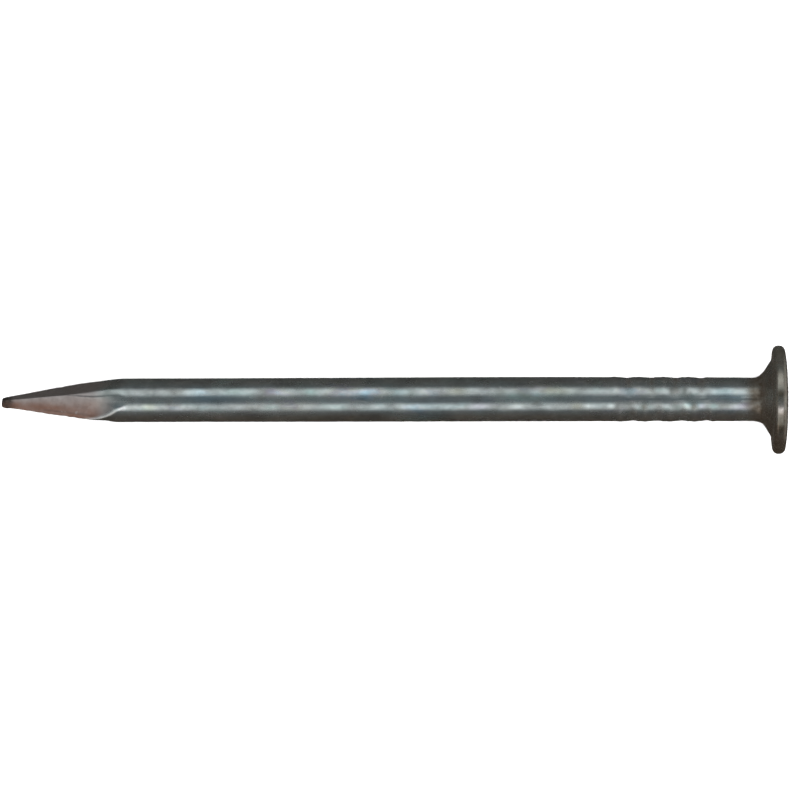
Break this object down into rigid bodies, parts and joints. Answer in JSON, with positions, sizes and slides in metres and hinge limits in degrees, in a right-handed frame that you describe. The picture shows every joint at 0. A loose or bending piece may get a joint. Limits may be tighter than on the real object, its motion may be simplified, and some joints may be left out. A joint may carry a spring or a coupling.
{
  "type": "nail",
  "caption": "Common wire nail: round steel shank with gripper marks under a flat upset head and a four-facet diamond point, for joining timber.",
  "frame": {"origin": "centre of the head's underside, the seat that stops against the timber, on the nail's axis", "axes": "+X along the nail's axis out through the head, -X towards the point; +Z is across the shank, in the plane where the gripping dies part; +Y is towards the middle of one half of the gripper marks"},
  "size_m": [0.0452, 0.0064, 0.0064],
  "materials": {
    "steel": "bright drawn wire, uncoated, with dark die marks at the head and the point"
  },
  "bodies": {
    "root": {"nail": "steel"}
  },
  "joints": []
}
